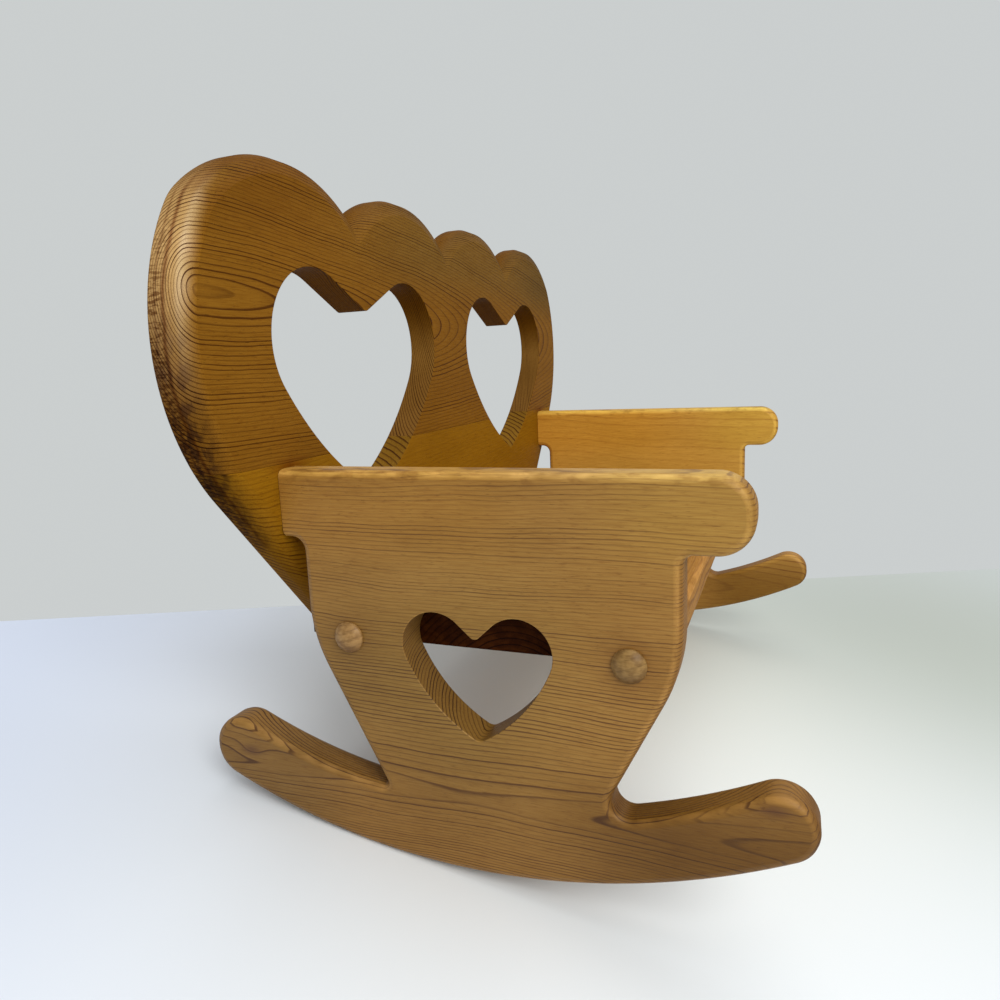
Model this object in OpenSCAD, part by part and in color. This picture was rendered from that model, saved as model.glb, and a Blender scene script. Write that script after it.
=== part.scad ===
// Doll-size rocking bench in solid pine: two sawn end panels that are arm, leg and rocker in one board,
// a plain seat board between them, and a twin-heart back edge-glued from two boards.
// Millimetres. X runs along the bench, the sitter faces -Y, Z is up and the rockers stand on z = 0.
// The pieces are drawn with the seat level and y = 0 over the rockers' lowest point, then leaned as one.

/* [Boards] */
// Thickness of every board
board_t = 19; // [16:0.5:24]
// Distance over the outer faces of the two end panels
bench_length = 438; // [360:1:460]

/* [Arms] */
// Height of the arm tops above the floor
arm_height = 205; // [190:1:230]
// Length of the arm, from the back board to the tip of its nose
arm_length = 230; // [222:1:260]
// Depth of the arm, top to underside
arm_depth = 35; // [32:0.5:38]
// Radius of the upper half of the arm's nose
nose_top_r = 16; // [8:0.5:19]
// Radius of the lower half of the arm's nose
nose_low_r = 16; // [8:0.5:19]
// Radius of the hollow between the arm's heel and the rear edge of the panel
notch_r = 7; // [4:0.5:9]
// Radius of the hollow between the arm's nose and the front edge of the panel
crotch_r = 4; // [2:0.5:8]

/* [End panel body] */
// Gap between the back board and the rear edge of the panel, below the arm
rear_gap = 11; // [10:0.5:16]
// Width of the panel below the arm
body_width = 190; // [175:1:197]
// Drop from the arm top to where the edges start to curve inwards
bend_drop = 69; // [60:1:80]
// Radius of that curve
bend_r = 76; // [40:1:100]
// Angle of the straight lower edges from upright
body_taper = 27; // [20:0.5:30]
// Round-over on the edges of the end panels
panel_round = 4; // [2:0.5:5]

/* [Rockers] */
// Radius of the rockers' underside
rocker_r = 352; // [320:1:450]
// Depth of the rocker's front horn
front_depth = 32; // [28:1:40]
// Depth of the rocker's rear horn
rear_depth = 36; // [30:1:40]
// Distance of the rockers' lowest point in front of the back board
rocker_centre = 92; // [85:1:105]
// Reach of the rocker to the front of its lowest point
front_reach = 166; // [150:1:180]
// Reach of the rocker to the rear of its lowest point
rear_reach = 152; // [135:1:165]
// Radius in the front corner between panel and rocker
front_corner_r = 8; // [4:0.5:12]
// Radius in the rear corner between panel and rocker
rear_corner_r = 2; // [1:0.5:8]

/* [End hearts] */
// Width of the heart in each end panel
end_heart_w = 77; // [66:1:84]
// Height of that heart, lobe top to point
end_heart_h = 64.5; // [58:0.5:70]
// Drop from the arm top to the lobe tops
end_heart_drop = 68.5; // [60:0.5:75]
// Depth of the notch between the lobes
end_heart_notch = 13; // [8:0.5:16]
// Radius of the lobes
end_heart_lobe_r = 17.5; // [14:0.5:19]
// Radius of the heart's long sides
end_heart_side_r = 83; // [75:1:200]
// Distance of the heart's centre line in front of the back board
end_heart_setback = 104; // [98:1:112]

/* [Seat] */
// Depth of the seat board, front to back
seat_depth = 195; // [186:1:205]
// Drop from the arm top to the seat's upper face
seat_drop = 73.5; // [66:0.5:80]
// Round-over on the seat's front edge
seat_round = 5; // [2:0.5:8]

/* [Back] */
// Full width of the back
back_width = 547; // [530:1:580]
// Rise of the lobes above the arm tops
back_rise = 156.5; // [150:0.5:180]
// Distance of the outer lobes' centres inwards from the widest points of the back
lobe_inset = 87.5; // [78:0.5:92]
// Radius of the lobes
lobe_r = 95; // [90:1:120]
// Radius of the shoulder between the outer lobe and the side
shoulder_r = 36; // [20:1:60]
// Radius of the sides
side_r = 116; // [105:1:125]
// Height of the widest point above the arm tops
side_rise = 63; // [50:1:70]
// Angle of the straight lower flanks above level
flank_angle = 49; // [42:1:55]
// Round-over on the front edges of the back
front_round = 10; // [4:0.5:12]
// Round-over on the rear edges of the back
rear_round = 2; // [0.5:0.5:5]
// Height of the glue line above the arm tops
glue_rise = 2.5; // [0:0.5:12]

/* [Back hearts] */
// Distance between the centre lines of the two hearts
heart_spacing = 242; // [225:1:260]
// Width of each heart
heart_w = 184; // [160:1:200]
// Height of each heart, lobe top to point
heart_h = 131; // [115:1:135]
// Rise of the heart's lobe tops above the arm tops
heart_rise = 103.5; // [98:0.5:110]
// Depth of the notch between the lobes
heart_notch = 21; // [16:1:28]
// Radius of the lobes
heart_lobe_r = 40; // [36:1:45]
// Radius of the heart's long sides
heart_side_r = 200; // [170:1:400]

/* [Fixings] */
// Diameter of the plug's tenon and of its counterbore
plug_d = 12.7; // [10:0.1:14]
// Diameter of the plug's domed head
plug_head_d = 15.9; // [15:0.1:19]
// Height of the domed head
plug_head_h = 5; // [3:0.5:6]
// Length of the plug's tenon
plug_tenon = 6; // [4:0.5:7]
// Depth of the counterbore for plug and screw head
counterbore = 9; // [8.5:0.5:12]
// Length of the screws
screw_len = 38; // [32:1:50]
// Diameter of the screw head
screw_head_d = 8.2; // [7:0.1:9]
// Diameter of the screw's smooth shank
shank_d = 4.2; // [3.8:0.1:5]
// Diameter of the threaded part at its root, and of its pilot hole
core_d = 3.2; // [2.5:0.1:3.6]
// Radial clearance of the shank in its hole
shank_clear = 0.3; // [0.2:0.05:0.6]
// Distance of the rear seat screws in front of the back board
rear_screw = 35; // [28:1:50]
// Distance of the front seat screws in front of the back board
front_screw = 178; // [150:1:180]
// Height of the end panels' seat screws above the seat's underside
panel_screw_rise = 7.2; // [6:0.1:12]
// Distance of the outer seat screws in the back from its centre
back_screw_x = 130; // [90:1:150]

/* [Rest] */
// Angle at which the bench leans back when it stands unloaded
rest_lean = 8.9; // [0:0.1:12]

/* [Hidden] */

back_y = rocker_centre;
half_length = bench_length / 2;
arm_x = half_length - board_t / 2;
inner_x = half_length - board_t;
seat_top = arm_height - seat_drop;
seat_mid = seat_top - board_t / 2;
seat_bottom = seat_top - board_t;
back_bottom = seat_bottom - front_round;
panel_screw_z = seat_bottom + panel_screw_rise;
grip = board_t - counterbore;
arm_mid = arm_height - arm_depth / 2;
body_rear = back_y - rear_gap;
body_front = body_rear - body_width;
rocker_axis = [0, rocker_r];
front_tip_r = front_depth / 2;
rear_tip_r = rear_depth / 2;
front_tip_at = rocker_r - front_tip_r;
rear_tip_at = rocker_r - rear_tip_r;
front_a = -90 - asin((front_reach - front_tip_r) / front_tip_at);
rear_a = asin((rear_reach - rear_tip_r) / rear_tip_at) - 90;
glue_z = arm_height + glue_rise;
lobe_spacing = (back_width - 2 * lobe_inset) / 3;
heart_tip_r = 1.5;
end_heart_tip_r = 5;
heart_notch_r = 6;
end_heart_notch_r = 3;
screw_head_h = 2.6;
screw_point_d = 0.8;
pilot_extra = 2;
plug_rim = 1.2;

// Greatest gap between a curved outline and its facets, and the facets of a round-over and of turned parts
sag = 0.15;
round_steps = 3;
screw_facets = 48;
plug_facets = 64;
dome_facets = 96;

// How far a cutter runs past what it cuts, and how far lengths of one screw run into each other
over = 1;
lap = 0.1;

wood = "#b8863e";
wood_upper = "#a8742f";
birch = "#cfa76a";
steel = "#9a9a96";

function unit(v) = v / norm(v);
function polar(a) = [cos(a), sin(a)];
function angle_of(v) = atan2(v[1], v[0]);

// How far back a point (y, z) comes to lie when the bench leans
function leaned_y(p) = p[0] * cos(rest_lean) + (p[1] - rocker_r) * sin(rest_lean);

// The leaned bench reaches from the front tips of the rockers to the top of the back or the rear tips
front_y = leaned_y(rocker_axis + front_tip_at * polar(front_a)) - front_tip_r;
rear_y = max(
    leaned_y([back_y + board_t - rear_round, arm_height + back_rise - rear_round]) + rear_round,
    leaned_y(rocker_axis + rear_tip_at * polar(rear_a)) + rear_tip_r
);

// Leans its children back, with y = 0 midway between the bench's foremost and rearmost points
module at_rest() {
    translate([0, -(front_y + rear_y) / 2, rocker_r])
        rotate([-rest_lean, 0, 0])
        translate([0, 0, -rocker_r])
        children();
}

// Points along an arc, as many as keep its facets within the sag
function arc(c, r, a0, a1) =
    let (n = max(1, ceil(abs(a1 - a0) / (2 * acos(1 - sag / r)))))
    [for (i = [0:n]) c + r * polar(a0 + (a1 - a0) * i / n)];

// Where circles about c1 and c2 cross, on the left of the line from c1 to c2
function crossing(c1, r1, c2, r2) =
    let (
        d = norm(c2 - c1),
        u = (c2 - c1) / d,
        a = (r1 * r1 - r2 * r2 + d * d) / (2 * d),
        h = sqrt(r1 * r1 - a * a)
    )
    c1 + a * u + h * [-u[1], u[0]];

// Points of an outline without the doubled ones where two arcs meet
function tidy(points) =
    let (n = len(points))
    [for (i = [0:n - 1]) if (norm(points[i] - points[(i + n - 1) % n]) > 0.01) points[i]];

// Outline mirrored left for right, still counter-clockwise
function mirrored(points) = [for (i = [len(points) - 1:-1:0]) [-points[i][0], points[i][1]]];

// Outline moved by an offset
function raised(points, offset) = [for (p = points) p + offset];

// Centre of a fillet of radius r beside the line through p along u, and inside the circle of radius big_r about c.
// side is 1 for the left of the line and -1 for its right
function fillet_centre(p, u, side, r, c, big_r) =
    let (
        q = p + side * r * [-u[1], u[0]] - c,
        b = q * u
    )
    q + c + u * (sqrt(b * b - q * q + (big_r - r) * (big_r - r)) - b);

// Heart with its lobe tops at y = 0 and its centre line at x = 0, counter-clockwise from its point
function heart(w, h, notch, lobe, side, tip_r, notch_r) =
    let (
        c = [w / 2 - lobe, -lobe],
        tip = [0, -h],
        s = crossing(tip, side, c, side - lobe),
        tip_c = [0, s[1] - sqrt((side - tip_r) * (side - tip_r) - s[0] * s[0])],
        notch_p = [0, -notch],
        slope = angle_of(c - notch_p) + asin(lobe / norm(c - notch_p)),
        notch_c = notch_p + [0, notch_r / cos(slope)],
        right = concat(
            arc(tip_c, tip_r, -90, angle_of(tip_c - s)),
            arc(s, side, angle_of(tip_c - s), angle_of(c - s)),
            arc(c, lobe, angle_of(c - s), slope + 90),
            arc(notch_c, notch_r, slope - 90, -90)
        )
    )
    tidy(concat(right, mirrored(right)));

// Outline moved inwards by d, for a counter-clockwise outline
function inset(points, d) =
    let (n = len(points))
    [for (i = [0:n - 1])
        let (
            u = unit(points[i] - points[(i + n - 1) % n]),
            v = unit(points[(i + 1) % n] - points[i]),
            nu = [-u[1], u[0]],
            nv = [-v[1], v[0]]
        )
        points[i] + d * (nu + nv) / (1 + nu * nv)];

// Cutter that rounds over the rim of an outline by r, at the face in the plane z = 0 of a board above it
module rim_cutter(outline, r) {
    n = len(outline);
    profile = concat(
        [for (k = [0:round_steps]) let (a = 90 * k / round_steps) [r - r * cos(a), r - r * sin(a)]],
        [[r, -over], [-over, -over], [-over, r]]
    );
    m = len(profile);
    points = [for (p = profile) for (q = inset(outline, p[0])) [q[0], q[1], p[1]]];
    faces = [for (k = [0:m - 1]) for (i = [0:n - 1])
        [k * n + i, (k + 1) % m * n + i, (k + 1) % m * n + (i + 1) % n, k * n + (i + 1) % n]];
    polyhedron(points, faces);
}

// Board of the given outline between z = 0 and z = board_t, with its rim rounded over by low_r and high_r
// on the faces there
module rounded_board(outline, low_r, high_r) {
    difference() {
        linear_extrude(board_t) polygon(outline);
        rim_cutter(outline, low_r);
        translate([0, 0, board_t]) mirror([0, 0, 1]) rim_cutter(outline, high_r);
    }
}

// Outline of an end panel in (y, z), from the top of the arm's rear end and round by the front.
// The arm is left long at the rear by the round-over, and is trimmed square where it meets the back
function end_outline() =
    let (
        under = arm_height - arm_depth,
        nose_y = back_y - arm_length,
        end_y = back_y + panel_round,
        bend_z = arm_height - bend_drop,
        front_top_r = rocker_r - front_depth,
        rear_top_r = rocker_r - rear_depth,
        front_bend = [body_front + bend_r, bend_z],
        rear_bend = [body_rear - bend_r, bend_z],
        front_end = front_bend + bend_r * polar(180 + body_taper),
        rear_end = rear_bend + bend_r * polar(-body_taper),
        front_c = fillet_centre(front_end, polar(body_taper - 90), -1, front_corner_r, rocker_axis, front_top_r),
        rear_c = fillet_centre(rear_end, polar(-90 - body_taper), 1, rear_corner_r, rocker_axis, rear_top_r)
    )
    tidy(concat(
        [[end_y, arm_height]],
        arc([nose_y + nose_top_r, arm_height - nose_top_r], nose_top_r, 90, 180),
        arc([nose_y + nose_low_r, under + nose_low_r], nose_low_r, 180, 270),
        arc([body_front - crotch_r, under - crotch_r], crotch_r, 90, 0),
        arc(front_bend, bend_r, 180, 180 + body_taper),
        arc(front_c, front_corner_r, body_taper, angle_of(front_c - rocker_axis)),
        arc(rocker_axis, front_top_r, angle_of(front_c - rocker_axis), front_a),
        arc(rocker_axis + front_tip_at * polar(front_a), front_tip_r, front_a + 180, front_a + 360),
        arc(rocker_axis, rocker_r, front_a, rear_a),
        arc(rocker_axis + rear_tip_at * polar(rear_a), rear_tip_r, rear_a, rear_a + 180),
        arc(rocker_axis, rear_top_r, rear_a, angle_of(rear_c - rocker_axis)),
        arc(rear_c, rear_corner_r, angle_of(rear_c - rocker_axis), -180 - body_taper),
        arc(rear_bend, bend_r, -body_taper, 0),
        arc([body_rear + notch_r, under - notch_r], notch_r, 180, 90),
        [[end_y, under]]
    ));

// Outline of the whole back in (x, z), from the middle of its bottom edge and round by the right
function back_outline() =
    let (
        half_pitch = lobe_spacing / 2,
        outer_c = [3 * half_pitch, back_rise - lobe_r],
        inner_c = [half_pitch, back_rise - lobe_r],
        side_c = [back_width / 2 - side_r, side_rise],
        shoulder_c = crossing(side_c, side_r - shoulder_r, outer_c, lobe_r - shoulder_r),
        flank_top = side_c + side_r * polar(flank_angle - 90),
        bottom = back_bottom - arm_height,
        bottom_x = flank_top[0] - (flank_top[1] - bottom) / tan(flank_angle),
        valley = asin(half_pitch / lobe_r),
        right = concat(
            [[bottom_x, bottom]],
            arc(side_c, side_r, flank_angle - 90, angle_of(shoulder_c - side_c)),
            arc(shoulder_c, shoulder_r, angle_of(shoulder_c - side_c), angle_of(shoulder_c - outer_c)),
            arc(outer_c, lobe_r, angle_of(shoulder_c - outer_c), 90 + valley),
            arc(inner_c, lobe_r, 90 - valley, 90 + valley)
        )
    )
    raised(tidy(concat(right, mirrored(right))), [0, arm_height]);

// Wood screw along +z, with the wide end of its head at z = 0 and grip of it in the first board
module screw(grip) {
    color(steel) {
        cylinder(h = screw_head_h, d1 = screw_head_d, d2 = shank_d, $fn = screw_facets);
        translate([0, 0, screw_head_h - lap])
            cylinder(h = grip - screw_head_h + lap, d = shank_d, $fn = screw_facets);
        translate([0, 0, grip - lap])
            cylinder(h = screw_len - grip - core_d + lap, d = core_d, $fn = screw_facets);
        translate([0, 0, screw_len - core_d])
            cylinder(h = core_d, d1 = core_d, d2 = screw_point_d, $fn = screw_facets);
    }
}

// What is drilled from the face of the first board for one screw and its plug
module screw_hole() {
    translate([0, 0, -over])
        cylinder(h = counterbore + over, d = plug_d, $fn = plug_facets);
    translate([0, 0, counterbore])
        cylinder(h = screw_head_h, d1 = screw_head_d, d2 = shank_d, $fn = screw_facets);
    translate([0, 0, counterbore - lap])
        cylinder(h = board_t - counterbore + over, d = shank_d + 2 * shank_clear, $fn = screw_facets);
}

// Pilot hole in the second board, from its edge
module pilot() {
    translate([0, 0, -over])
        cylinder(h = screw_len - grip + pilot_extra + over, d = core_d, $fn = screw_facets);
}

// Button plug whose head stands on the face at z = 0, its tenon along +z
module plug() {
    cap = plug_head_h - plug_rim;
    dome_r = (plug_head_d * plug_head_d / 4 + cap * cap) / (2 * cap);
    color(birch) {
        cylinder(h = plug_tenon, d = plug_d, $fn = plug_facets);
        intersection() {
            translate([0, 0, -plug_head_h])
                cylinder(h = plug_head_h, d = plug_head_d, $fn = plug_facets);
            translate([0, 0, dome_r - plug_head_h])
                sphere(r = dome_r, $fn = dome_facets);
        }
    }
}

// Stands a child at a seat screw's place on the left panel's outer face, pointing inwards, at a distance
// from the back and a depth below that face
module at_left_panel(distance, depth) {
    translate([depth - half_length, back_y - distance, panel_screw_z]) rotate([0, 90, 0]) children();
}

// Stands a child at a screw's place on the rear face of the back, pointing forwards, at a depth below that face
module at_back(x, z, depth) {
    translate([x, back_y + board_t - depth, z]) rotate([90, 0, 0]) children();
}

module left_end_panel() {
    color(wood)
        at_rest()
        difference() {
            translate([-half_length, 0, 0]) rotate([90, 0, 90])
                rounded_board(end_outline(), panel_round, panel_round);
            translate([-half_length - over, back_y - end_heart_setback, arm_height - end_heart_drop])
                rotate([90, 0, 90])
                linear_extrude(board_t + 2 * over)
                polygon(heart(end_heart_w, end_heart_h, end_heart_notch, end_heart_lobe_r,
                    end_heart_side_r, end_heart_tip_r, end_heart_notch_r));
            translate([-half_length - over, back_y, arm_height - arm_depth - over])
                cube([board_t + 2 * over, panel_round + over, arm_depth + 2 * over]);
            at_left_panel(rear_screw, 0) screw_hole();
            at_left_panel(front_screw, 0) screw_hole();
            translate([-arm_x, back_y, arm_mid]) rotate([90, 0, 0]) pilot();
        }
}

module right_end_panel() { mirror([1, 0, 0]) left_end_panel(); }

module seat_board() {
    rear = back_y;
    front = back_y - seat_depth;
    profile = concat(
        [[rear, seat_bottom], [rear, seat_top]],
        arc([front + seat_round, seat_top - seat_round], seat_round, 90, 180),
        arc([front + seat_round, seat_bottom + seat_round], seat_round, 180, 270)
    );
    color(wood)
        at_rest()
        difference() {
            translate([-inner_x, 0, 0]) rotate([90, 0, 90]) linear_extrude(2 * inner_x) polygon(profile);
            for (side = [0, 1])
                mirror([side, 0, 0])
                for (distance = [rear_screw, front_screw])
                    at_left_panel(distance, board_t) pilot();
            for (x = [-back_screw_x, 0, back_screw_x])
                at_back(x, seat_mid, board_t) pilot();
        }
}

// The whole back in its place, with both hearts and no screw holes
module whole_back() {
    difference() {
        translate([0, back_y + board_t, 0]) rotate([90, 0, 0])
            rounded_board(back_outline(), rear_round, front_round);
        for (side = [-1, 1])
            translate([side * heart_spacing / 2, back_y + board_t + over, arm_height + heart_rise])
                rotate([90, 0, 0])
                linear_extrude(board_t + 2 * over)
                polygon(heart(heart_w, heart_h, heart_notch, heart_lobe_r,
                    heart_side_r, heart_tip_r, heart_notch_r));
    }
}

// All the space from height low to height high that the back can fill
module slice(low, high) {
    translate([-back_width, back_y - over, low])
        cube([2 * back_width, board_t + 2 * over, high - low]);
}

module back_upper_board() {
    color(wood_upper)
        at_rest()
        intersection() {
            whole_back();
            slice(glue_z, arm_height + back_rise + over);
        }
}

module back_lower_board() {
    color(wood)
        at_rest()
        difference() {
            intersection() {
                whole_back();
                slice(back_bottom - over, glue_z);
            }
            for (x = [-back_screw_x, 0, back_screw_x])
                at_back(x, seat_mid, 0) screw_hole();
            for (x = [-arm_x, arm_x])
                at_back(x, arm_mid, 0) screw_hole();
        }
}

module left_rear_seat_screw() { at_rest() at_left_panel(rear_screw, counterbore) screw(grip); }
module left_front_seat_screw() { at_rest() at_left_panel(front_screw, counterbore) screw(grip); }
module right_rear_seat_screw() { mirror([1, 0, 0]) left_rear_seat_screw(); }
module right_front_seat_screw() { mirror([1, 0, 0]) left_front_seat_screw(); }

module left_rear_seat_plug() { at_rest() at_left_panel(rear_screw, 0) plug(); }
module left_front_seat_plug() { at_rest() at_left_panel(front_screw, 0) plug(); }
module right_rear_seat_plug() { mirror([1, 0, 0]) left_rear_seat_plug(); }
module right_front_seat_plug() { mirror([1, 0, 0]) left_front_seat_plug(); }

module back_left_seat_screw() { at_rest() at_back(-back_screw_x, seat_mid, counterbore) screw(grip); }
module back_centre_seat_screw() { at_rest() at_back(0, seat_mid, counterbore) screw(grip); }
module back_right_seat_screw() { at_rest() at_back(back_screw_x, seat_mid, counterbore) screw(grip); }
module back_left_arm_screw() { at_rest() at_back(-arm_x, arm_mid, counterbore) screw(grip); }
module back_right_arm_screw() { at_rest() at_back(arm_x, arm_mid, counterbore) screw(grip); }

module back_left_seat_plug() { at_rest() at_back(-back_screw_x, seat_mid, 0) plug(); }
module back_centre_seat_plug() { at_rest() at_back(0, seat_mid, 0) plug(); }
module back_right_seat_plug() { at_rest() at_back(back_screw_x, seat_mid, 0) plug(); }
module back_left_arm_plug() { at_rest() at_back(-arm_x, arm_mid, 0) plug(); }
module back_right_arm_plug() { at_rest() at_back(arm_x, arm_mid, 0) plug(); }

left_end_panel();
right_end_panel();
seat_board();
back_upper_board();
back_lower_board();
left_rear_seat_screw();
left_front_seat_screw();
right_rear_seat_screw();
right_front_seat_screw();
left_rear_seat_plug();
left_front_seat_plug();
right_rear_seat_plug();
right_front_seat_plug();
back_left_seat_screw();
back_centre_seat_screw();
back_right_seat_screw();
back_left_arm_screw();
back_right_arm_screw();
back_left_seat_plug();
back_centre_seat_plug();
back_right_seat_plug();
back_left_arm_plug();
back_right_arm_plug();
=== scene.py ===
"""Rocking bench in honey-coloured softwood: sawn end panels, twin-heart back, turned plugs."""

import math

import bmesh
import bpy
from mathutils import Matrix, Vector


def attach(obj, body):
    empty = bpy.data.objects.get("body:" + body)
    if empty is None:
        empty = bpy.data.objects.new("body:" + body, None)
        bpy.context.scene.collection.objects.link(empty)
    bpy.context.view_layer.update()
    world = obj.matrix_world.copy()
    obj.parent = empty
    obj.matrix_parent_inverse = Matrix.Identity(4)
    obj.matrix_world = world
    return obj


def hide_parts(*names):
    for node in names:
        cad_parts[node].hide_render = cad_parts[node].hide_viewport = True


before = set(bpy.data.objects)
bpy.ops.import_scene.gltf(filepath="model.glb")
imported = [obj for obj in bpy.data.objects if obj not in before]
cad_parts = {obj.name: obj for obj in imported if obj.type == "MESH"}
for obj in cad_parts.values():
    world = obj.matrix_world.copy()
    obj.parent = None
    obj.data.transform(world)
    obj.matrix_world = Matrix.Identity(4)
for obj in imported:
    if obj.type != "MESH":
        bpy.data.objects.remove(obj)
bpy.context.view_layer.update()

# Sizes in millimetres, drawn with the seat level and y = 0 over the rockers' lowest point
BOARD = 19
OUTER_X = 219
BACK_Y = 92
ARM_Z = 205
GLUE_Z = 207.5
SEAT_Z = 131.5
PLUG_Z = 119.7
FRONT_PLUG_Y = -86
REAR_PLUG_Y = 57
ROCKER_R = 352
LEAN = math.radians(8.9)
SHIFT_Y = 49.9306

# Points nearer than this are one point
TOUCHING = 0.02

MM = 0.001
REST = (
    Matrix.Translation((0, SHIFT_Y * MM, ROCKER_R * MM))
    @ Matrix.Rotation(-LEAN, 4, "X")
    @ Matrix.Translation((0, 0, -ROCKER_R * MM))
)


# Outlines

def polar(angle):
    """The unit vector at an angle in degrees."""
    return Vector((math.cos(math.radians(angle)), math.sin(math.radians(angle))))


def angle_of(v):
    return math.degrees(math.atan2(v[1], v[0]))


def arc(centre, radius, start, end, step=5.0):
    """Points on an arc between two angles, at most step degrees apart."""
    count = max(1, math.ceil(abs(end - start) / step))
    return [Vector(centre) + radius * polar(start + (end - start) * i / count) for i in range(count + 1)]


def crossing(c1, r1, c2, r2):
    """Where two circles cross, on the left of the line from the first centre to the second."""
    d = (c2 - c1).length
    u = (c2 - c1) / d
    a = (r1 * r1 - r2 * r2 + d * d) / (2 * d)
    return c1 + a * u + math.sqrt(r1 * r1 - a * a) * Vector((-u[1], u[0]))


def fillet_centre(p, u, side, r, c, big_r):
    """The centre of a fillet of radius r between the line through p along u and the inside of a circle."""
    q = p + side * r * Vector((-u[1], u[0])) - c
    b = q.dot(u)
    return q + c + u * (math.sqrt(b * b - q.dot(q) + (big_r - r) ** 2) - b)


def distinct(points):
    """The points of a closed outline without those that lie on the point before them."""
    return [p for p, q in zip(points, points[-1:] + points[:-1]) if (p - q).length > TOUCHING]


def mirrored(points):
    """The other half of an outline, in the order that closes it."""
    return [Vector((-p[0], p[1])) for p in reversed(points)]


def heart(width, height, notch, lobe, side, tip_r, notch_r, at):
    """A heart of two lobes and two long curved sides, hung from the middle of the line over its lobes."""
    c = Vector((width / 2 - lobe, -lobe))
    s = crossing(Vector((0, -height)), side, c, side - lobe)
    tip = Vector((0, s[1] - math.sqrt((side - tip_r) ** 2 - s[0] ** 2)))
    low = Vector((0, -notch))
    slope = angle_of(c - low) + math.degrees(math.asin(lobe / (c - low).length))
    cusp = low + Vector((0, notch_r / math.cos(math.radians(slope))))
    right = (
        arc(tip, tip_r, -90, angle_of(tip - s))
        + arc(s, side, angle_of(tip - s), angle_of(c - s), 1.5)
        + arc(c, lobe, angle_of(c - s), slope + 90, 4)
        + arc(cusp, notch_r, slope - 90, -90, 8)
    )
    return [Vector(at) + p for p in distinct(right + mirrored(right))]


def end_outline():
    """An end panel's arm, body and rocker in (y, z), from the arm's rear top round by the front."""
    arm_depth, arm_length, nose_r, under_front_r, under_rear_r = 35, 230, 16, 4, 7
    body_depth, body_inset, bend_r, bend_z, taper = 190, 11, 76, ARM_Z - 69, 27
    front_reach, front_tip_r, front_fillet_r = 165.9, 16, 8
    rear_reach, rear_tip_r, rear_fillet_r = 152, 18, 2
    floor_gap = 0.12

    under, nose_y = ARM_Z - arm_depth, BACK_Y - arm_length + nose_r
    body_rear = BACK_Y - body_inset
    body_front = body_rear - body_depth
    front_bend = Vector((body_front + bend_r, bend_z))
    rear_bend = Vector((body_rear - bend_r, bend_z))

    axis, roll_r = Vector((0, ROCKER_R)), ROCKER_R - floor_gap
    front_top_r, rear_top_r = roll_r - 2 * front_tip_r, roll_r - 2 * rear_tip_r
    front_end = -90 - math.degrees(math.asin((front_reach - front_tip_r) / (roll_r - front_tip_r)))
    rear_end = math.degrees(math.asin((rear_reach - rear_tip_r) / (roll_r - rear_tip_r))) - 90
    front_tip = axis + (roll_r - front_tip_r) * polar(front_end)
    rear_tip = axis + (roll_r - rear_tip_r) * polar(rear_end)

    front_foot, rear_foot = front_bend + bend_r * polar(180 + taper), rear_bend + bend_r * polar(-taper)
    front_c = fillet_centre(front_foot, polar(taper - 90), -1, front_fillet_r, axis, front_top_r)
    rear_c = fillet_centre(rear_foot, polar(-90 - taper), 1, rear_fillet_r, axis, rear_top_r)
    return distinct(
        [Vector((BACK_Y, ARM_Z))]
        + arc((nose_y, ARM_Z - nose_r), nose_r, 90, 180)
        + arc((nose_y, under + nose_r), nose_r, 180, 270)
        + arc((body_front - under_front_r, under - under_front_r), under_front_r, 90, 0, 15)
        + arc(front_bend, bend_r, 180, 180 + taper, 3)
        + arc(front_c, front_fillet_r, taper, angle_of(front_c - axis), 10)
        + arc(axis, front_top_r, angle_of(front_c - axis), front_end, 1)
        + arc(front_tip, front_tip_r, front_end + 180, front_end + 360)
        + arc(axis, roll_r, front_end, rear_end, 1)
        + arc(rear_tip, rear_tip_r, rear_end, rear_end + 180)
        + arc(axis, rear_top_r, rear_end, angle_of(rear_c - axis), 1)
        + arc(rear_c, rear_fillet_r, angle_of(rear_c - axis), -180 - taper, 20)
        + arc(rear_bend, bend_r, -taper, 0, 3)
        + arc((body_rear + under_rear_r, under - under_rear_r), under_rear_r, 180, 90, 10)
        + [Vector((BACK_Y, under))]
    )


def back_outline():
    """The scalloped back in (x, z), worked out from the height of the arms."""
    pitch, rise, lobe = 62, 156.37, 95
    half_width, side_z, side_r, shoulder_r = 273.4, 63, 116, 36
    flank, bottom = 49, -102.5

    outer, inner = Vector((3 * pitch, rise - lobe)), Vector((pitch, rise - lobe))
    side = Vector((half_width - side_r, side_z))
    shoulder = crossing(side, side_r - shoulder_r, outer, lobe - shoulder_r)
    flank_top = side + side_r * polar(flank - 90)
    bottom_x = flank_top[0] - (flank_top[1] - bottom) / math.tan(math.radians(flank))
    valley = math.degrees(math.asin(pitch / lobe))
    right = (
        [Vector((bottom_x, bottom))]
        + arc(side, side_r, flank - 90, angle_of(shoulder - side), 2)
        + arc(shoulder, shoulder_r, angle_of(shoulder - side), angle_of(shoulder - outer), 4)
        + arc(outer, lobe, angle_of(shoulder - outer), 90 + valley, 2)
        + arc(inner, lobe, 90 - valley, 90 + valley, 2)
    )
    return [p + Vector((0, ARM_Z)) for p in distinct(right + mirrored(right))]


# Boards

# Planes of the outlines: (y, z) stood across the bench, and (x, z) stood along it
ACROSS = Matrix(((0, 0, 1, 0), (1, 0, 0, 0), (0, 1, 0, 0), (0, 0, 0, 1)))
ALONG = Matrix(((1, 0, 0, 0), (0, 0, 1, 0), (0, 1, 0, 0), (0, 0, 0, 1)))

# A rim rounded over more widely than this has fewer facets
WIDE_RIM = 5

# A face whose direction agrees this well with its board's is one of the two flat faces
LEVEL = 0.9999


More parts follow.
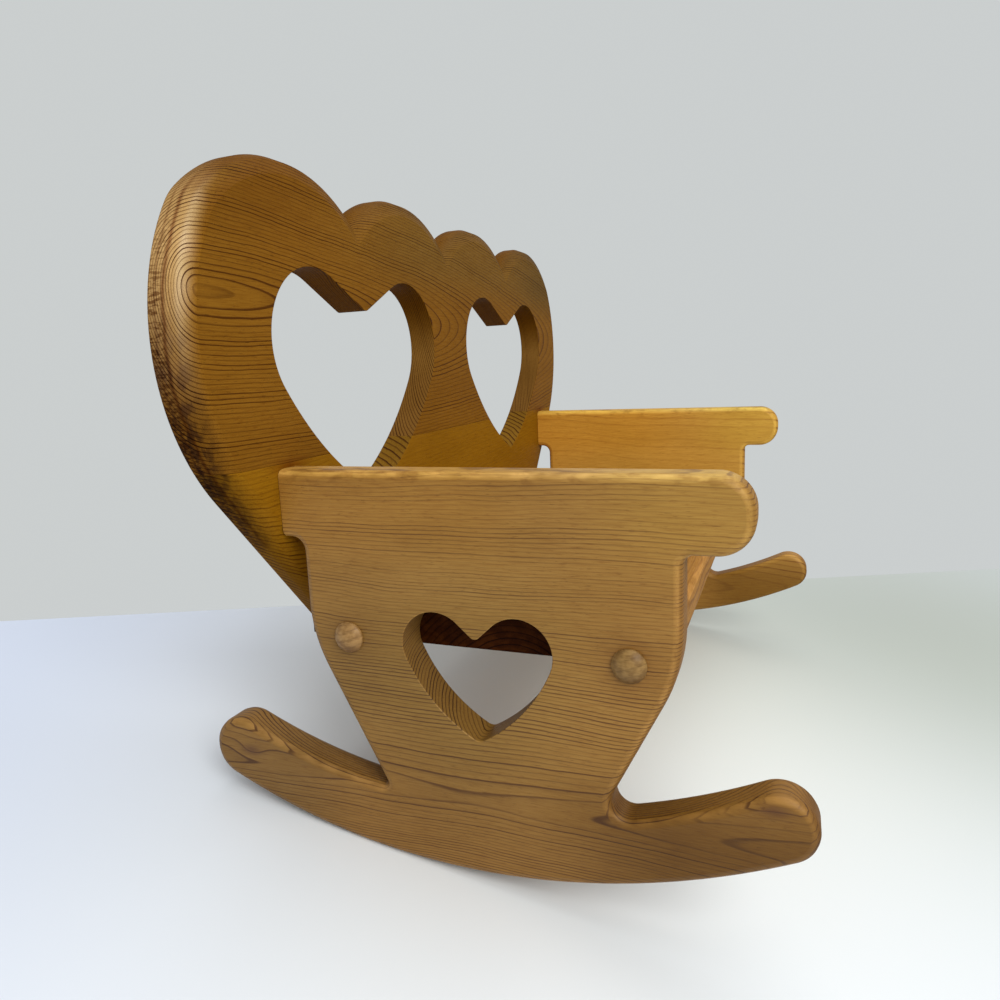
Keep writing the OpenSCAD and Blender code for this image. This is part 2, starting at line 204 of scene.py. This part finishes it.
def prism(outline, place, thickness):
    """A board of the outline, stood in its place by the matrix, as a bmesh in millimetres."""
    bm = bmesh.new()
    cap = bm.faces.new([bm.verts.new((p[0], p[1], 0)) for p in outline])
    grown = bmesh.ops.extrude_face_region(bm, geom=[cap])["geom"]
    lifted = [g for g in grown if isinstance(g, bmesh.types.BMVert)]
    bmesh.ops.translate(bm, verts=lifted, vec=(0, 0, thickness))
    bmesh.ops.transform(bm, matrix=place, verts=bm.verts)
    bmesh.ops.recalc_face_normals(bm, faces=bm.faces)
    return bm


def butts(edge, square_y):
    """Whether an edge lies in the square end of a board that has one."""
    return square_y is not None and all(abs(v.co.y - square_y) <= TOUCHING for v in edge.verts)


def round_rims(bm, front_radius, rear_radius, square_y=None):
    """Rounds over the rims of a board's two largest faces, but not at an end that butts against the back."""
    caps = sorted(bm.faces, key=lambda f: -f.calc_area())[:2]
    caps.sort(key=lambda f: f.calc_center_median().y)
    rims = [[e for e in f.edges if not butts(e, square_y)] for f in caps]
    for edges, radius in zip(rims, (front_radius, rear_radius)):
        facets = 2 if radius > WIDE_RIM else 3
        bmesh.ops.bevel(bm, geom=edges, offset=radius, offset_type="OFFSET", affect="EDGES",
                        segments=facets, profile=0.5, material=-1)


def trim(bm, at, outward):
    """Cuts off what lies beyond a plane and closes the cut."""
    made = bmesh.ops.bisect_plane(bm, geom=bm.verts[:] + bm.edges[:] + bm.faces[:], dist=1e-4,
                                  plane_co=at, plane_no=outward, clear_outer=True)
    rim = [g for g in made["geom_cut"] if isinstance(g, bmesh.types.BMEdge)]
    bmesh.ops.contextual_create(bm, geom=rim)


def loose(name, bm):
    """Puts a bmesh into the scene as an object."""
    made = bpy.data.objects.new(name, bpy.data.meshes.new(name))
    bm.to_mesh(made.data)
    bm.free()
    bpy.context.scene.collection.objects.link(made)
    return made


def sawn(bm, holes, place):
    """Saws holes of the given outlines right through a board."""
    board = loose("board", bm)
    for hole in holes:
        waste = loose("waste", prism(hole, place, 3 * BOARD))
        saw = board.modifiers.new("saw", "BOOLEAN")
        saw.operation = "DIFFERENCE"
        saw.solver = "EXACT"
        saw.object = waste
        cut = bpy.data.meshes.new_from_object(board.evaluated_get(bpy.context.evaluated_depsgraph_get()))
        board.modifiers.clear()
        board.data = cut
        bpy.data.objects.remove(waste)
    bm = bmesh.new()
    bm.from_mesh(board.data)
    bpy.data.objects.remove(board)
    return bm


def piece(name, bm, facing, node, material, broken_edge):
    """Stands a board where it rests, in its finish, with its sharp edges just broken."""
    for face in bm.faces:
        face.smooth = True
    for edge in bm.edges:
        sides = [f for f in edge.link_faces if abs(f.normal.dot(facing)) > LEVEL]
        edge.smooth = len(sides) != 1
    bmesh.ops.transform(bm, matrix=REST @ Matrix.Scale(MM, 4), verts=bm.verts)
    made = loose(name, bm)
    made.data.materials.append(material)
    sanding = made.modifiers.new("broken_edge", "BEVEL")
    sanding.width = broken_edge * MM
    sanding.segments = 2
    sanding.limit_method = "ANGLE"
    sanding.angle_limit = math.radians(50)
    planing = made.modifiers.new("flat_faces", "WEIGHTED_NORMAL")
    planing.weight = 100
    planing.keep_sharp = True
    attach(made, "root")
    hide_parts(node)


def end_panel(name, x, node, material):
    """An end panel that starts at x, with the heart through its body."""
    heart_at = (BACK_Y - 104, ARM_Z - 68.5)
    bm = prism(end_outline(), Matrix.Translation((x, 0, 0)) @ ACROSS, BOARD)
    round_rims(bm, front_radius=4, rear_radius=4, square_y=BACK_Y)
    hole = heart(width=77, height=64.5, notch=13, lobe=17.5, side=83, tip_r=5, notch_r=3, at=heart_at)
    bm = sawn(bm, [hole], Matrix.Translation((x - BOARD, 0, 0)) @ ACROSS)
    piece(name, bm, Vector((1, 0, 0)), node, material, broken_edge=0.4)


def back_board(name, node, glue_outward, material):
    """One of the back's two boards, cut off at the glue line, with its share of the two large hearts."""
    heart_x, heart_z = 121, ARM_Z + 103.5
    bm = prism(back_outline(), Matrix.Translation((0, BACK_Y, 0)) @ ALONG, BOARD)
    round_rims(bm, front_radius=10, rear_radius=2)
    trim(bm, (0, 0, GLUE_Z), (0, 0, glue_outward))
    holes = [
        heart(width=184, height=131, notch=21, lobe=40, side=200, tip_r=1.5, notch_r=6, at=(x, heart_z))
        for x in (-heart_x, heart_x)
    ]
    bm = sawn(bm, holes, Matrix.Translation((0, BACK_Y - BOARD, 0)) @ ALONG)
    piece(name, bm, Vector((0, 1, 0)), node, material, broken_edge=0.25)


# Finishes

class Figure:
    """A number that varies over a surface. An expression on figures adds Math nodes."""

    def __init__(self, finish, socket):
        self.finish = finish
        self.socket = socket

    def maths(self, operation, *values):
        return self.finish.node("ShaderNodeMath", {"operation": operation}, values)

    def __add__(self, other):
        return self.maths("ADD", self, other)

    def __sub__(self, other):
        return self.maths("SUBTRACT", self, other)

    def __rsub__(self, other):
        return self.maths("SUBTRACT", other, self)

    def __mul__(self, other):
        return self.maths("MULTIPLY", self, other)

    def __truediv__(self, other):
        return self.maths("DIVIDE", self, other)

    def __abs__(self):
        return self.maths("ABSOLUTE", self)

    __radd__ = __add__
    __rmul__ = __mul__

    def root(self):
        return self.maths("SQRT", self)

    def whole(self):
        return self.maths("FLOOR", self)

    def fraction(self):
        return self.maths("FRACT", self)

    def zigzag(self, peak):
        return self.maths("PINGPONG", self, peak)

    def least(self, other):
        return self.maths("MINIMUM", self, other)

    def most(self, other):
        return self.maths("MAXIMUM", self, other)

    def bell(self):
        """1 at zero, falling away on both sides."""
        return self.maths("EXPONENT", self * self * -1)

    def rise(self, low, high):
        """0 up to low, 1 from high, with a smooth rise between."""
        ends = {"From Min": low, "From Max": high, "To Min": 0.0, "To Max": 1.0}
        smooth = {"interpolation_type": "SMOOTHSTEP"}
        return self.finish.node("ShaderNodeMapRange", smooth, {"Value": self, **ends})


class Finish:
    """A material under construction."""

    def __init__(self, name):
        self.material = bpy.data.materials.new(name)
        self.material.use_nodes = True
        self.tree = self.material.node_tree
        self.tree.nodes.clear()

    def node(self, kind, settings, values, output=0):
        """Adds a node, with its settings first and then its sockets' values or links."""
        made = self.tree.nodes.new(kind)
        for key, value in settings.items():
            setattr(made, key, value)
        given = values.items() if isinstance(values, dict) else enumerate(values)
        for key, value in given:
            if isinstance(value, Figure):
                self.tree.links.new(value.socket, made.inputs[key])
            else:
                made.inputs[key].default_value = value
        return Figure(self, made.outputs[output]) if made.outputs else None

    def parts(self, vector):
        """The three numbers of a vector."""
        split = self.node("ShaderNodeSeparateXYZ", {}, [vector])
        return [Figure(self, socket) for socket in split.socket.node.outputs]

    def millimetres(self):
        """Coordinates on the level bench, in millimetres, and the surface's direction there."""
        turned = {"Rotation": (LEAN, 0, 0)}
        at = self.node("ShaderNodeTexCoord", {}, {}, 3)
        level = Matrix.Rotation(LEAN, 4, "X") @ Vector((0, -SHIFT_Y, -ROCKER_R))
        at = self.node("ShaderNodeMapping", {}, {
            "Vector": at, "Location": (0, level[1], level[2] + ROCKER_R), "Scale": (1 / MM,) * 3, **turned})
        way = self.node("ShaderNodeTexCoord", {}, {}, 1)
        way = self.node("ShaderNodeMapping", {}, {"Vector": way, **turned})
        return self.parts(at) + self.parts(way)

    def noise(self, a, b, c, detail=1.0):
        """Smooth noise about 0.5, over places already divided by the size of its patches."""
        at = self.node("ShaderNodeCombineXYZ", {}, (a, b, c))
        return self.node("ShaderNodeTexNoise", {}, {"Vector": at, "Scale": 1.0, "Detail": detail})

    def mix(self, factor, a, b, blend="MIX"):
        colours = {"data_type": "RGBA", "blend_type": blend}
        return self.node("ShaderNodeMix", colours, {0: factor, 6: a, 7: b}, 2)

    def tint(self, factor, colour, shade):
        """The colour multiplied by a shade, as far as the factor goes."""
        return self.mix(factor, colour, (*shade, 1), "MULTIPLY")

    def surface(self, colour, roughness, height, depth, constants):
        """Ends the material in its shader, with relief of a depth in millimetres."""
        bump = self.node("ShaderNodeBump", {}, {"Height": height, "Distance": depth * MM, "Strength": 1.0})
        shader = self.node("ShaderNodeBsdfPrincipled", {}, {
            "Base Color": colour, "Roughness": roughness, "Normal": bump, **constants})
        self.node("ShaderNodeOutputMaterial", {}, {"Surface": shader})
        return self.material


# Shades that the wood's colour is multiplied by
OLDER_WOOD = (0.80, 0.76, 0.60)
FIBRE = (0.74, 0.64, 0.52)
STREAK = (0.66, 0.52, 0.40)
RESIN_DUCT = (0.50, 0.36, 0.25)
SOAKED_LINE = (0.42, 0.31, 0.25)

# A knot is longer along the board than across it, and its dark heart is smaller than the bend of the rings
KNOT_HEART = (0.12, 0.045, 0.02, 1)
KNOT_STRETCH = 2.1
KNOT_HEART_SHARE = 1 / 1.7


def ring_lines(wood, board, a, b, c, cut):
    """How dark the tree's yearly lines are here, and how near the heart of a knot is."""
    seed = board["seed"]
    pith_b, pith_c = board["pith"](a)
    sway = wood.noise(a / 110 + seed, b / 60, c / 60) - 0.5
    ripple = wood.noise(a / 26 + seed, b / 9, c / 12, 2.0) - 0.5
    up = b - pith_b + sway * board["sway"] + ripple * board["ripple"]
    up = up.most(0) + up.least(0) * board["tighter_below"]
    into = (c - pith_c) * board["depth"]
    r = (up * up + into * into).root()
    rings = board["rings"](r)
    heartwood = 0.0
    for at_a, at_b, reach, turns in board["knots"]:
        along, across = (a - at_a) / (KNOT_STRETCH * reach), (b - at_b) / reach
        near = (along * along + across * across).root()
        rings = rings + near.bell() * turns
        heartwood = (near / KNOT_HEART_SHARE).bell() + heartwood

    # A line darkens late in its year and stops short. Where the rings lie flat, it has a faint broad foot.
    part = rings.fraction()
    luck = wood.node("ShaderNodeTexWhiteNoise", {"noise_dimensions": "1D"}, {"W": rings.whole() + seed})
    flat = into * into / (r * r + 1)
    foot = part.rise(0.2, 0.9) * flat * flat * 0.25
    line = (part.rise(board["late"] + 0.2 * flat * flat, 0.9) + foot) * (1 - part.rise(0.93, 1.0))

    # No two years are equally strong, and sawn ends and walls show every one of them
    patch = wood.noise(a / 45 + seed, b / 10, c / 10)
    strength = board["contrast"](a, b) * (0.35 + 0.95 * luck * luck) * (0.45 + 1.1 * patch)
    strength = strength.most(cut * board["end_lines"] * (0.5 + 0.65 * luck))
    return (line * strength).least(1.0), heartwood


def timber(name, board):
    """Softwood cut as the board says: rings round a wandering pith, seen wherever the board was sawn."""
    wood = Finish(name)
    x, y, z, nx, ny, nz = wood.millimetres()
    a, b, c = board["place"](x, y, z)
    end_way, face_way = board["way"](nx, ny, nz)
    end = abs(end_way).rise(0.35, 0.85)
    wall = 1 - abs(face_way).rise(0.1, 0.35)
    rim = (4 * face_way * face_way * (1 - face_way * face_way)).rise(0.2, 0.9)
    cut = end.most(wall)
    seed = board["seed"]
    line, heartwood = ring_lines(wood, board, a, b, c, cut)

    # Slow changes of tone, and fibres and resin ducts, which run along the board and are dots on its ends
    fibre = wood.noise(a / (14 - 13.4 * end) + seed, b / 0.7, c / 0.7, 2.0)
    streak = wood.noise(a / (6 - 5.3 * end), b / 0.9 + seed, c / 0.9, 1.0).rise(0.58, 0.74)
    tone = wood.noise(a / 80 + seed, b / 28, c / 28, 2.0)
    duct = wood.noise(a / (5 - 4.5 * end), b / 0.45 + seed, c / 0.45).rise(0.67, 0.8)
    colour = wood.mix(line, (*board["pale"], 1), (*board["dark"], 1))
    colour = wood.tint(tone.rise(0.35, 0.7) * 0.5, colour, OLDER_WOOD)
    colour = wood.tint(fibre.rise(0.3, 0.75) * 0.6, colour, FIBRE)
    colour = wood.tint(streak * 0.4, colour, STREAK)
    colour = wood.tint(duct * 0.5, colour, RESIN_DUCT)
    if board["knots"]:
        colour = wood.mix(heartwood.least(1.0) * 0.65, colour, KNOT_HEART)

    # Rims rubbed bare and brightened by a painted highlight, and end grain that drank the finish
    bare_and_highlight_colour = [min(1.0, 1.6 * v + 0.015) for v in board["pale"]]
    rim_rub_and_highlight = rim * wood.noise(a / 16 + seed, b / 8, c / 8, 2.0).rise(0.3, 0.65) * (1 - end)
    colour = wood.mix(rim_rub_and_highlight * board["wear_and_highlight"], colour, (*bare_and_highlight_colour, 1))
    colour = wood.tint(end * board["end_dark"], colour, board["end_tone"])
    colour = wood.tint(cut.most(rim) * line * board["end_lines"], colour, SOAKED_LINE)
    # Marks, some of them painted shade and painted highlights
    for share, shade in board["marks_and_painted_light"](wood, (x, y, z), (end, wall, nz)):
        colour = wood.tint(share, colour, shade)

    height = line * 0.5 - fibre * 0.5 - streak * 0.3 - duct * 1.2
    roughness = 0.42 + fibre * 0.16 + end * 0.2 - line * 0.05
    gloss = board["gloss"]
    coat = {"Specular IOR Level": gloss, "Coat Weight": gloss * 0.2, "Coat Roughness": 0.3}
    return wood.surface(colour, roughness, height, 0.12, coat)


# Marks, painted shade and painted highlights: how strong each is here, and the shade that it multiplies the
# wood's colour by

def spot(u, v, at_u, at_v, reach):
    """A round soft mark about a place."""
    du, dv = (u - at_u) / reach, (v - at_v) / reach
    return (du * du + dv * dv).root().bell()


def panel_marks_and_painted_light(wood, at, cut):
    """The marks on an end panel, given a place; the cut, how far the surface there is an end, a wall or
    faces up, is not used.
    """
    x, y, z = at
    low = 1 - z.rise(35, 85)
    grime = wood.noise(y / 9, z / 5, x / 5, 3.0).rise(0.5, 0.68)
    return [
        # Painted shade round the plugs
        (spot(y, z, REAR_PLUG_Y, PLUG_Z, 12) * 0.45 + spot(y, z, FRONT_PLUG_Y, PLUG_Z, 13) * 0.6,
         (0.62, 0.48, 0.36)),
        # The rocker, darkened towards the floor by painted shade, brown at its front horn and greyer at its
        # rear one
        (low * 0.9, (0.80, 0.78, 0.80)),
        (low * (1 - y.rise(-110, -30)), (0.51, 0.45, 0.23)),
        (low * y.rise(50, 110), (0.78, 0.82, 0.92)),
        # Painted shade on the body, behind the heart, round it and below it
        (spot(y, z, 62, 100, 42) * 0.8, (0.72, 0.78, 0.85)),
        (spot(y, z, -12, 112, 60), (0.87, 0.94, 0.96)),
        (spot(y, z, 0, 72, 40), (0.88, 0.9, 0.9)),
        # The arm's side, warmer behind and paler at the nose
        (z.rise(150, 180) * y.rise(-60, 0), (1.0, 0.95, 0.75)),
        (z.rise(150, 185) * (1 - y.rise(-110, -50)), (1.12, 1.20, 1.08)),
        # The arm's top, rubbed pale and made lighter by painted light, with hand grime on its edges
        (z.rise(200.5, 204) * 0.8, (1.55, 1.8, 2.3)),
        (z.rise(196, 202) * grime * 0.6, (0.62, 0.52, 0.42)),
    ]


def far_panel_marks_and_painted_light(wood, at, cut):
    """The same marks as on the near panel, on a board that is darker in front and on top."""
    x, y, z = at
    return panel_marks_and_painted_light(wood, at, cut) + [
        (1 - z.rise(60, 110), (0.94, 0.94, 1.25)),
        (1 - y.rise(-110, -20), (0.87, 0.9, 0.95)),
        (z.rise(200.5, 204), (0.66, 0.68, 0.66)),
    ]


def back_marks_and_painted_light(wood, at, cut):
    """The marks on the back's two boards, with painted shade and a painted highlight among them."""
    x, y, z = at
    end, wall, up = cut
    sideways = abs(x).rise(216, 224)
    inner = wall * (1 - sideways) * (1 - z.rise(311, 318)) * z.rise(168, 175)
    outer = end * sideways
    deep = y - BACK_Y
    front = 1 - deep.rise(2, 12)
    wander = wood.noise(z / 30, x / 30, 0.5, 2.0) * 5
    streak = ((deep - 6.5 - wander) / 0.9).bell() + ((deep - 11 - wander) / 0.6).bell() * 0.6
    rough = wood.noise(z / 1.1, deep / 5, x / 5, 2.0).rise(0.42, 0.6)
    blotch = wood.noise(z / 7, deep / 3, x / 7, 3.0).rise(0.4, 0.62)
    return [
        # The hearts' walls, paler below and darker above
        (inner * (1 - z.rise(262, 300)), (1.15, 1.32, 3.0)),
        (inner * z.rise(262, 300), (0.62, 0.54, 0.26)),
        # The outer ends, pale above, dark and blotched below, with two streaks, and rough at the rear
        (outer * z.rise(225, 330), (2.9, 4.3, 20.0)),
        (outer * (1 - z.rise(225, 300)) * (0.4 + 0.6 * blotch), (0.27, 0.24, 0.60)),
        (outer * streak.least(1.0) * 0.8, (0.38, 0.22, 0.16)),
        (outer * deep.rise(8, 12) * rough * (1 - z.rise(280, 345)), (0.42, 0.32, 0.26)),
        # A painted highlight down the near end's rounded rim
        (((deep - 3) / 1.8).bell() * (1 - x.rise(-250, -205)) * z.rise(225, 300), (1.35, 1.6, 2.3)),
        # The scallops' fronts, greyer towards the far end, and painted shade on the near one's top
        (x.rise(-190, -20) * z.rise(290, 330) * front, (0.86, 1.02, 1.9)),
        (x.rise(120, 230) * z.rise(285, 325) * front, (0.78, 0.82, 0.9)),
        ((1 - x.rise(-200, -120)) * z.rise(300, 335) * (1 - outer) * front, (0.86, 0.82, 0.75)),
        # Painted shade where the boards face up, and in the corners where the arms meet the back
        (up.rise(0.05, 0.75) * 0.9, (0.72, 0.69, 0.70)),
        ((1 - abs(z - 206) / 5).most(0) * (1 - abs(abs(x) - 208) / 22).most(0), (0.55, 0.36, 0.28)),
    ]


def seat_stains(wood, at, cut):
    """The seat's ends, dark and blotched."""
    x, y, z = at
    end = cut[0]
    blotch = wood.noise(x / 6, y / 6, z / 4, 2.0)
    return [(end, (0.22, 0.13, 0.09)), (end * blotch.rise(0.35, 0.6) * 0.7, (0.45, 0.35, 0.30))]


# Grain

def two_widths(r, change, inner_ring, outer_ring):
    """The count of rings that have one width as far as a radius, and another beyond it."""
    return r.least(change) / inner_ring + (r - change).most(0) / outer_ring


def eyed(r, eye, core, first, eye_ring, outer_ring):
    """The count of rings, from the share of a first one, round an eye with a broad plain core."""
    inside, outside = r.least(eye), (r - eye).most(0)
    return ((inside * inside + core * core).root() - core) / eye_ring + first + outside / outer_ring


# Each board's grain, in millimetres along the board (a), across it (b) and into it from one face (c)
#   place, way: a, b and c of a place, and how far the surface faces along the board and out of its faces
#   pith: where the tree's heart ran, as b and c at each a
#   depth: how many times faster the rings go by into the board than across it
#   sway, ripple: how far the rings wander slowly and quickly
#   tighter_below: how many times faster the rings go by below the heart
#   rings: the count of rings at a distance from the heart
#   late: the share of a year that passes before its line starts
#   contrast: how dark the lines are on the faces
#   knots: a, b, reach, and the rings that each one adds at its middle
#   end_dark, end_tone: how far end grain is darkened, and the shade
#   end_lines: how strongly the lines show on ends, walls and rims
#   wear, gloss: how bright the rims are rubbed, with a painted highlight, and the sheen of the oil

NEAR_PANEL = {
    "seed": 3.1,
    "pale": (0.345, 0.175, 0.036),
    "dark": (0.135, 0.055, 0.012),
    "place": lambda x, y, z: (y, z, x + OUTER_X),
    "way": lambda nx, ny, nz: (ny, nx),
    "pith": lambda a: (41.5, 29.1 - 0.03 * ((a + 5) * (a + 5) + 400).root()),
    "depth": 1.0,
    "sway": 9,
    "ripple": 1.5,
    "tighter_below": 1.4,
    "rings": lambda r: two_widths(r, change=125, inner_ring=1.7, outer_ring=2.1),
    "late": 0.58,
    "contrast": lambda a, b: (1.3 - 0.6 * b.rise(100, 150)) * (0.55 + 0.45 * a.rise(-130, -85)),
    "knots": [(127, 47, 5, 0.9), (-147, 61, 5.5, -0.6)],
    "end_dark": 0.45,
    "end_tone": (0.62, 0.5, 0.4),
    "end_lines": 0.7,
    "wear_and_highlight": 0.5,
    "gloss": 0.2,
    "marks_and_painted_light": panel_marks_and_painted_light,
}

FAR_PANEL = {
    "seed": 17.7,
    "pale": (0.66, 0.34, 0.052),
    "dark": (0.38, 0.15, 0.02),
    "place": lambda x, y, z: (y, z, x - OUTER_X + BOARD),
    "way": lambda nx, ny, nz: (ny, nx),
    "pith": lambda a: (38 + a * 0.05, -22 + 0.05 * a),
    "depth": 1.0,
    "sway": 12,
    "ripple": 2.0,
    "tighter_below": 1.2,
    "rings": lambda r: two_widths(r, change=120, inner_ring=3.4, outer_ring=6.5),
    "late": 0.6,
    "contrast": lambda a, b: 0.8 - 0.5 * b.rise(70, 150),
    "knots": [],
    "end_dark": 0.5,
    "end_tone": (0.6, 0.5, 0.4),
    "end_lines": 0.7,
    "wear_and_highlight": 0.4,
    "gloss": 0.15,
    "marks_and_painted_light": far_panel_marks_and_painted_light,
}

SEAT = {
    "seed": 29.5,
    "pale": (0.36, 0.17, 0.035),
    "dark": (0.16, 0.06, 0.012),
    "place": lambda x, y, z: (x, y, z - SEAT_Z + BOARD),
    "way": lambda nx, ny, nz: (nx, nz),
    "pith": lambda a: (-20 + a * 0.03, -34),
    "depth": 1.0,
    "sway": 14,
    "ripple": 2.5,
    "tighter_below": 1.1,
    "rings": lambda r: r / 3.2,
    "late": 0.55,
    "contrast": lambda a, b: 0.8,
    "knots": [(60, 30, 7, 1.5)],
    "end_dark": 0.6,
    "end_tone": (0.5, 0.4, 0.3),
    "end_lines": 0.7,
    "wear_and_highlight": 0.4,
    "gloss": 0.03,
    "marks_and_painted_light": seat_stains,
}

UPPER_BACK = {
    "seed": 41.3,
    "pale": (0.222, 0.095, 0.008),
    "dark": (0.08, 0.026, 0.002),
    "place": lambda x, y, z: (x, z, y - BACK_Y),
    "way": lambda nx, ny, nz: (nx, ny),
    "pith": lambda a: (284 - 0.023 * a, (a + 261).most(0) * -0.086 + (a + 261).least(0) * 0.64),
    "depth": 1.4,
    "sway": 5,
    "ripple": 1.4,
    "tighter_below": 0.85,
    "rings": lambda r: eyed(r, eye=14, core=6, first=0.69, eye_ring=2.4, outer_ring=1.85),
    "late": 0.6,
    "contrast": lambda a, b: 1.3,
    "knots": [],
    "end_dark": 0.0,
    "end_tone": (1, 1, 1),
    "end_lines": 1.0,
    "wear_and_highlight": 0.1,
    "gloss": 0.02,
    "marks_and_painted_light": back_marks_and_painted_light,
}

LOWER_BACK = {
    "seed": 58.9,
    "pale": (0.265, 0.118, 0.005),
    "dark": (0.13, 0.045, 0.003),
    "place": lambda x, y, z: (x, z, y - BACK_Y),
    "way": lambda nx, ny, nz: (nx, ny),
    "pith": lambda a: (60 + 0.04 * a, 40 - 0.02 * a),
    "depth": 1.3,
    "sway": 6,
    "ripple": 1.8,
    "tighter_below": 1.0,
    "rings": lambda r: r / 2.6,
    "late": 0.55,
    "contrast": lambda a, b: 0.75 - 0.5 * a.rise(-210, -150),
    "knots": [],
    "end_dark": 0.6,
    "end_tone": (0.5, 0.5, 0.6),
    "end_lines": 1.0,
    "wear_and_highlight": 0.1,
    "gloss": 0.02,
    "marks_and_painted_light": back_marks_and_painted_light,
}


def birch(name):
    """Pale close-grained wood of the turned plugs."""
    wood = Finish(name)
    x, y, z, nx, ny, nz = wood.millimetres()
    ring = (z * 0.8 + y * 0.25 + wood.noise(y / 9, z / 3, x / 9) * 2) / 1.6
    line = ring.zigzag(1.0).rise(0.55, 1.0)
    fleck = wood.noise(y / 2.5, z / 0.3, x / 2.5, 2.0)
    cloud = wood.noise(y / 4, z / 3, x / 4, 2.0)
    colour = wood.mix(line * 0.3, (0.36, 0.205, 0.068, 1), (0.13, 0.06, 0.014, 1))
    colour = wood.tint(fleck.rise(0.4, 0.7) * 0.6, colour, (0.66, 0.56, 0.45))
    colour = wood.tint(cloud.rise(0.4, 0.62) * 0.7, colour, (0.62, 0.55, 0.45))

    # Painted shade: darker underneath, and darker and browner on the front plugs
    colour = wood.tint(1 - nz.rise(-0.8, 0.0), colour, (0.6, 0.52, 0.45))
    colour = wood.tint(1 - y.rise(-60, -40), colour, (0.80, 0.81, 0.70))
    coat = {"Specular IOR Level": 0.25, "Coat Weight": 0.04}
    return wood.surface(colour, 0.42 + fleck * 0.15, fleck, 0.05, coat)


def steel(name):
    """Zinc-coated steel of the hidden screws."""
    metal = Finish(name)
    x, y, z = metal.millimetres()[:3]
    bloom = metal.noise(x / 1.5, y / 1.5, z / 1.5, 2.0)
    colour = metal.mix(bloom, (0.62, 0.61, 0.57, 1), (0.42, 0.42, 0.41, 1))
    return metal.surface(colour, 0.3 + bloom * 0.2, bloom, 0.02, {"Metallic": 1.0})


# The bench

end_panel("near_end_panel", -OUTER_X, "left_end_panel", timber("near_panel_pine", NEAR_PANEL))
end_panel("far_end_panel", OUTER_X - BOARD, "right_end_panel", timber("far_panel_pine", FAR_PANEL))
back_board("upper_back_board", "back_upper_board", -1, timber("upper_back_pine", UPPER_BACK))
back_board("lower_back_board", "back_lower_board", 1, timber("lower_back_pine", LOWER_BACK))

finishes = {
    "seat_board": timber("seat_pine", SEAT),
    "plug": birch("turned_birch"),
    "screw": steel("screw_zinc"),
}
for name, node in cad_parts.items():
    for ending, finish in finishes.items():
        if name.endswith(ending):
            node.data.materials.clear()
            node.data.materials.append(finish)


# Camera, placed so that the panels' and the back's outlines fall where the photograph has them

camera = bpy.data.objects.new("camera", bpy.data.cameras.new("camera"))
camera.data.lens = 27.04
camera.data.sensor_width = 36
camera_at = (-0.52883, -0.15034, 0.25141)
camera_turn = Matrix((
    (0.35897, 0.17802, -0.91622),
    (-0.93237, 0.02344, -0.36074),
    (-0.04275, 0.98375, 0.17439),
))
camera.matrix_world = REST @ Matrix.Translation(camera_at) @ camera_turn.to_4x4()
bpy.context.scene.collection.objects.link(camera)
bpy.context.scene.camera = camera


# Studio

bpy.context.scene.view_settings.view_transform = "Standard"

SKY_COLOUR = (0.93, 0.96, 1.0, 1)
SKY_STRENGTH = 0.5
WALL_COLOUR = (0.595, 0.62, 0.62, 1)

# The floor's sheet in metres
SHEET = (
    (-1.8, -2.6), (1.93, -1.69), (0.36, -0.063), (0.411, -0.017), (0.91, 0.057),
    (0.446, 0.508), (0.056, 0.25), (-0.63, 0.96), (-1.8, 0.96),
)


def lamp(name, at, towards, size, watts):
    """A square lamp that faces a place, in metres."""
    light = bpy.data.objects.new(name, bpy.data.lights.new(name, "AREA"))
    light.data.size = size
    light.data.energy = watts
    light.location = at
    light.rotation_euler = (Vector(towards) - Vector(at)).to_track_quat("-Z", "Y").to_euler()
    bpy.context.scene.collection.objects.link(light)


def room():
    """Soft light from all round, with a plain wall where the camera sees past the floor."""
    world = bpy.data.worlds.new("room")
    world.use_nodes = True
    bpy.context.scene.world = world
    nodes, links = world.node_tree.nodes, world.node_tree.links
    sky = nodes["Background"]
    sky.inputs["Color"].default_value = SKY_COLOUR
    sky.inputs["Strength"].default_value = SKY_STRENGTH
    wall = nodes.new("ShaderNodeBackground")
    wall.inputs["Color"].default_value = WALL_COLOUR
    seen = nodes.new("ShaderNodeLightPath")
    choose = nodes.new("ShaderNodeMixShader")
    links.new(seen.outputs["Is Camera Ray"], choose.inputs[0])
    links.new(sky.outputs[0], choose.inputs[1])
    links.new(wall.outputs[0], choose.inputs[2])
    links.new(choose.outputs[0], nodes["World Output"].inputs[0])


def floor_paper():
    """White paper, with painted shade that makes it cooler to the left and duller to the right, and painted
    light under the bench.
    """
    paper = Finish("floor_paper")
    x, y, z = paper.millimetres()[:3]
    cloud = paper.noise(x / 300, y / 300, z / 300, 2.0)
    white = paper.mix(cloud, (0.79, 0.82, 0.84, 1), (0.75, 0.785, 0.81, 1))
    # Painted shade towards the right and at the front right
    white = paper.tint((x - y * 0.4).rise(-150, 400), white, (0.78, 0.80, 0.75))
    white = paper.tint(spot(x, y, 330, -320, 380), white, (0.76, 0.76, 0.70))
    # Painted light under the bench
    white = paper.tint(spot(x, y, 0, 0, 230), white, (1.2, 1.18, 1.1))
    # Painted shade to the left, cooler
    white = paper.tint((y - x * 0.4).rise(100, 500), white, (0.84, 0.88, 1.0))
    return paper.surface(white, 0.5 + cloud * 0.1, cloud, 0.02, {})


lamp("window", at=(-1.5, -1.2, 1.7), towards=(0, 0, 0.15), size=1.3, watts=38)
lamp("ceiling", at=(0.2, -0.3, 2.0), towards=(0, 0, 0.1), size=2.0, watts=20)
room()

floor_bm = bmesh.new()
floor_bm.faces.new([floor_bm.verts.new((x, y, 0)) for x, y in SHEET])
floor = loose("floor", floor_bm)
floor.data.materials.append(floor_paper())
